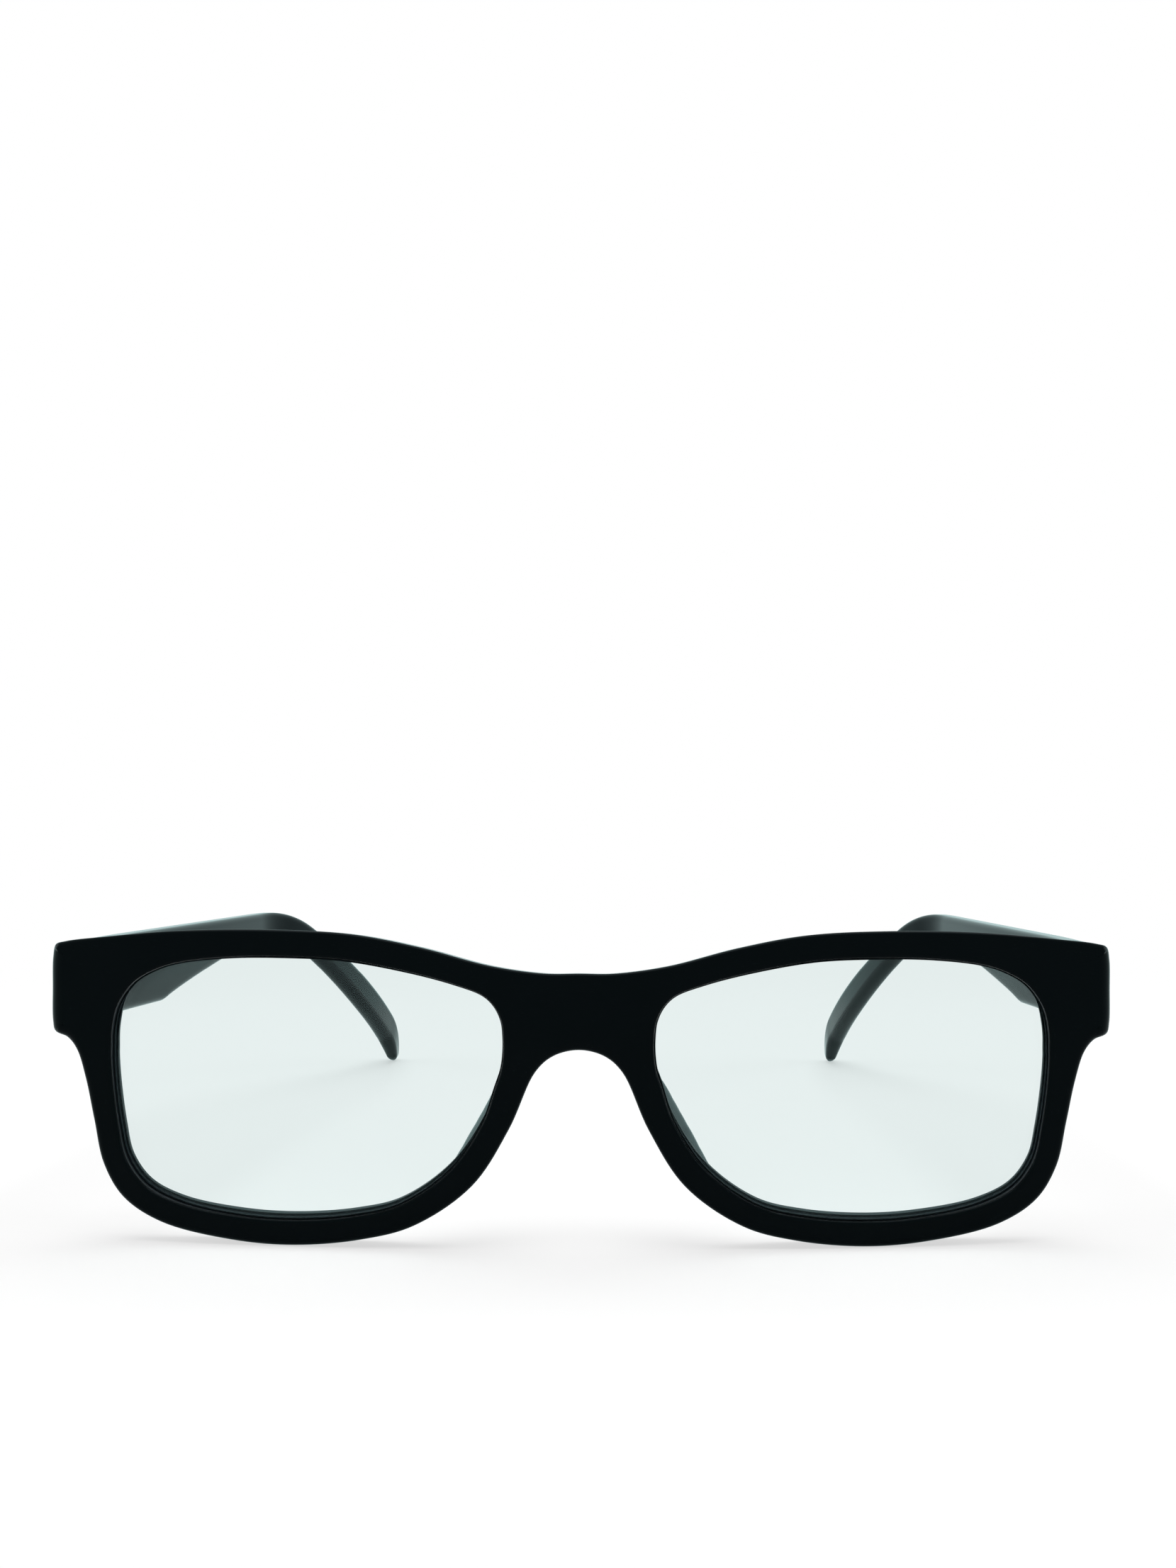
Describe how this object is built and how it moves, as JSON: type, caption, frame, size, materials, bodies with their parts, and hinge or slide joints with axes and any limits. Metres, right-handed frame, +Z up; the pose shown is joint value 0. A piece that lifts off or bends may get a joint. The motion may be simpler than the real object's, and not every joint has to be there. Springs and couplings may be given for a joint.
{
  "type": "eyeglass frame",
  "caption": "Rectangular full-rim plastic eyeglass frame with clear lenses, bonded nose pads and two temples that fold inwards on screwed metal hinges.",
  "frame": {"origin": "middle of the width and of the depth, at the height of the surface that the rims and ear tips rest on", "axes": "+Z up, the front faces -Y, the temples run back to +Y, and +X is the wearer's left"},
  "size_m": [0.1396, 0.1424, 0.0406],
  "materials": {
    "black_plastic": "polished black",
    "clear_lens": "clear polished",
    "hinge_metal": "satin nickel silver",
    "screw_metal": "bright steel",
    "core_wire": "drawn wire"
  },
  "bodies": {
    "front": {"front_frame": "black_plastic", "left_lens": "clear_lens", "right_lens": "clear_lens", "left_nose_pad": "black_plastic", "right_nose_pad": "black_plastic", "left_front_hinge_leaf": "hinge_metal", "right_front_hinge_leaf": "hinge_metal", "left_front_leaf_screws": "screw_metal", "right_front_leaf_screws": "screw_metal", "left_hinge_screw": "screw_metal", "right_hinge_screw": "screw_metal"},
    "left_arm": {"left_temple": "black_plastic", "left_temple_hinge_leaf": "hinge_metal", "left_temple_leaf_screws": "screw_metal", "left_temple_core": "core_wire"},
    "right_arm": {"right_temple": "black_plastic", "right_temple_hinge_leaf": "hinge_metal", "right_temple_leaf_screws": "screw_metal", "right_temple_core": "core_wire"}
  },
  "joints": [
    {"name": "left_temple_fold", "type": "hinge", "parent": "front", "child": "left_arm", "pos_m": [0.0643, -0.05878, 0.0328], "axis": [0, 0, 1], "range_deg": [0, 77]},
    {"name": "right_temple_fold", "type": "hinge", "parent": "front", "child": "right_arm", "pos_m": [-0.0643, -0.05878, 0.0328], "axis": [0, 0, -1], "range_deg": [0, 83]}
  ]
}
